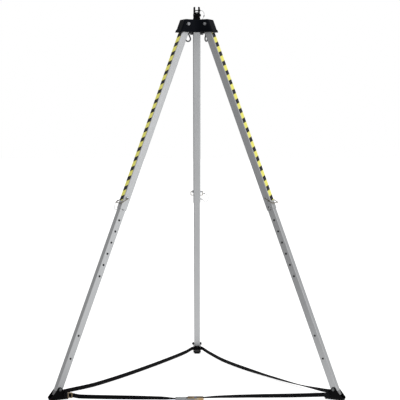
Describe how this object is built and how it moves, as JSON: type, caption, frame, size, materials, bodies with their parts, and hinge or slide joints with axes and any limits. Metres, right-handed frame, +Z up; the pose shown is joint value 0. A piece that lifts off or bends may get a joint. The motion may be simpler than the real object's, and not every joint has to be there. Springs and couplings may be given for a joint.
{
  "type": "rescue tripod",
  "caption": "Rescue tripod with a cast head, folding telescopic square legs, hinged feet, a cable pulley bracket, anchor eyes and webbing tied between the feet.",
  "frame": {"origin": "on the floor, at the middle of the footprint's bounding box; the tripod's own axis lies 235.2 mm towards -Y from it", "axes": "+Z up, +Y from the front webbing with its buckle towards the rear leg, +X towards the right leg seen from the front"},
  "size_m": [1.7336, 1.5012, 2.318],
  "materials": {
    "tube_aluminium": "brushed, clear anodised",
    "cast_black": "black powder coat, slight texture",
    "black_steel": "black powder coat",
    "zinc_steel": "zinc plated",
    "eye_steel": "forged, dull zinc plated",
    "yellow_zinc": "yellow zinc plated steel",
    "cable_steel": "thin wire cable",
    "sheave_white": "cast nylon",
    "nylon_black": "moulded nylon",
    "plug_grey": "moulded end block",
    "rubber_black": "moulded rubber",
    "hazard_tape": "yellow and black diagonal stripes",
    "webbing_black": "woven polyester",
    "webbing_blue": "woven polyester",
    "grip_grey": "light grey grip"
  },
  "bodies": {
    "head": {"head_casting": "cast_black", "hinge_bolts": "zinc_steel", "hinge_nuts": "zinc_steel", "pulley_bracket": "black_steel", "bracket_bolts": "black_steel", "sheave_axle": "zinc_steel", "strap_left": "webbing_black", "strap_right": "webbing_black", "strap_front_left": "webbing_black", "strap_front_right": "webbing_black", "buckle_frame": "yellow_zinc"},
    "upper_left": {"upper_tube_left": "tube_aluminium", "hinge_bush_left": "zinc_steel", "hazard_tape_left": "hazard_tape", "guide_liner_left": "nylon_black"},
    "lower_left": {"lower_tube_left": "tube_aluminium", "top_guide_left": "nylon_black", "foot_plug_left": "plug_grey"},
    "pin_left": {"lock_pin_left": "zinc_steel", "pin_bail_left": "yellow_zinc", "pin_lanyard_left": "cable_steel"},
    "foot_left": {"foot_fork_left": "black_steel", "foot_pad_left": "rubber_black", "foot_bolt_left": "zinc_steel", "strap_ring": "yellow_zinc"},
    "upper_right": {"upper_tube_right": "tube_aluminium", "hinge_bush_right": "zinc_steel", "hazard_tape_right": "hazard_tape", "guide_liner_right": "nylon_black"},
    "lower_right": {"lower_tube_right": "tube_aluminium", "top_guide_right": "nylon_black", "foot_plug_right": "plug_grey"},
    "pin_right": {"lock_pin_right": "zinc_steel", "pin_bail_right": "yellow_zinc", "pin_lanyard_right": "cable_steel"},
    "foot_right": {"foot_fork_right": "black_steel", "foot_pad_right": "rubber_black", "foot_bolt_right": "zinc_steel"},
    "upper_rear": {"upper_tube_rear": "tube_aluminium", "hinge_bush_rear": "zinc_steel", "hazard_tape_rear": "hazard_tape", "guide_liner_rear": "nylon_black"},
    "lower_rear": {"lower_tube_rear": "tube_aluminium", "top_guide_rear": "nylon_black", "foot_plug_rear": "plug_grey"},
    "pin_rear": {"lock_pin_rear": "zinc_steel", "pin_bail_rear": "yellow_zinc", "pin_lanyard_rear": "cable_steel"},
    "foot_rear": {"foot_fork_rear": "black_steel", "foot_pad_rear": "rubber_black", "foot_bolt_rear": "zinc_steel"},
    "eye_left": {"anchor_eye_left": "eye_steel"},
    "eye_right": {"anchor_eye_right": "eye_steel"},
    "sheave": {"sheave": "sheave_white"},
    "keeper": {"keeper_pin": "zinc_steel", "keeper_lanyard": "cable_steel"},
    "buckle_spool": {"buckle_spool": "yellow_zinc", "spool_wrap": "webbing_blue"},
    "buckle_lever": {"buckle_lever": "yellow_zinc", "buckle_grip": "grip_grey"}
  },
  "joints": [
    {"name": "fold_left", "type": "hinge", "parent": "head", "child": "upper_left", "pos_m": [-0.07015, -0.2757, 2.2085], "axis": [0.5, -0.866, 0], "range_deg": [0, 20.5], "deforming": ["strap_left", "strap_front_left"]},
    {"name": "extend_left", "type": "slide", "parent": "upper_left", "child": "lower_left", "axis": [0.3216, 0.1857, 0.9285], "range_m": [0, 0.42], "deforming": ["strap_left", "strap_front_left"]},
    {"name": "pull_pin_left", "type": "slide", "parent": "upper_left", "child": "pin_left", "axis": [0.5, -0.866, 0], "range_m": [0, 0.062], "deforming": ["pin_bail_left", "pin_lanyard_left"]},
    {"name": "tilt_foot_left", "type": "hinge", "parent": "lower_left", "child": "foot_left", "pos_m": [-0.80527, -0.70013, 0.062], "axis": [0.5, -0.866, 0], "range_deg": [-25, 25], "deforming": ["strap_left", "strap_front_left"]},
    {"name": "fold_right", "type": "hinge", "parent": "head", "child": "upper_right", "pos_m": [0.07015, -0.2757, 2.2085], "axis": [0.5, 0.866, 0], "range_deg": [0, 20.5], "deforming": ["strap_right", "strap_front_right"]},
    {"name": "extend_right", "type": "slide", "parent": "upper_right", "child": "lower_right", "axis": [-0.3216, 0.1857, 0.9285], "range_m": [0, 0.42], "deforming": ["strap_right", "strap_front_right"]},
    {"name": "pull_pin_right", "type": "slide", "parent": "upper_right", "child": "pin_right", "axis": [0.5, 0.866, 0], "range_m": [0, 0.062], "deforming": ["pin_bail_right", "pin_lanyard_right"]},
    {"name": "tilt_foot_right", "type": "hinge", "parent": "lower_right", "child": "foot_right", "pos_m": [0.80527, -0.70013, 0.062], "axis": [0.5, 0.866, 0], "range_deg": [-25, 25], "deforming": ["strap_right", "strap_front_right"]},
    {"name": "fold_rear", "type": "hinge", "parent": "head", "child": "upper_rear", "pos_m": [0, -0.1542, 2.2085], "axis": [-1, 0, 0], "range_deg": [0, 20.5], "deforming": ["strap_left", "strap_right"]},
    {"name": "extend_rear", "type": "slide", "parent": "upper_rear", "child": "lower_rear", "axis": [0, -0.3714, 0.9285], "range_m": [0, 0.42], "deforming": ["strap_left", "strap_right"]},
    {"name": "pull_pin_rear", "type": "slide", "parent": "upper_rear", "child": "pin_rear", "axis": [-1, 0, 0], "range_m": [0, 0.062], "deforming": ["pin_bail_rear", "pin_lanyard_rear"]},
    {"name": "tilt_foot_rear", "type": "hinge", "parent": "lower_rear", "child": "foot_rear", "pos_m": [0, 0.69464, 0.062], "axis": [-1, 0, 0], "range_deg": [-25, 25], "deforming": ["strap_left", "strap_right"]},
    {"name": "swivel_eye_left", "type": "hinge", "parent": "head", "child": "eye_left", "pos_m": [-0.05359, -0.19334, 2.16], "axis": [0, 0, 1], "continuous": true},
    {"name": "swivel_eye_right", "type": "hinge", "parent": "head", "child": "eye_right", "pos_m": [0.05889, -0.2012, 2.16], "axis": [0, 0, 1], "continuous": true},
    {"name": "turn_sheave", "type": "hinge", "parent": "head", "child": "sheave", "pos_m": [0, -0.2152, 2.27], "axis": [1, 0, 0], "continuous": true},
    {"name": "pull_keeper_pin", "type": "slide", "parent": "head", "child": "keeper", "axis": [1, 0, 0], "range_m": [0, 0.037], "deforming": ["keeper_lanyard"]},
    {"name": "turn_buckle_spool", "type": "hinge", "parent": "head", "child": "buckle_spool", "pos_m": [-0.007, -0.71957, 0.0095], "axis": [0, 1, 0], "continuous": true},
    {"name": "open_buckle_lever", "type": "hinge", "parent": "head", "child": "buckle_lever", "pos_m": [-0.007, -0.71957, 0.0095], "axis": [0, 1, 0], "range_deg": [0, 150]}
  ]
}
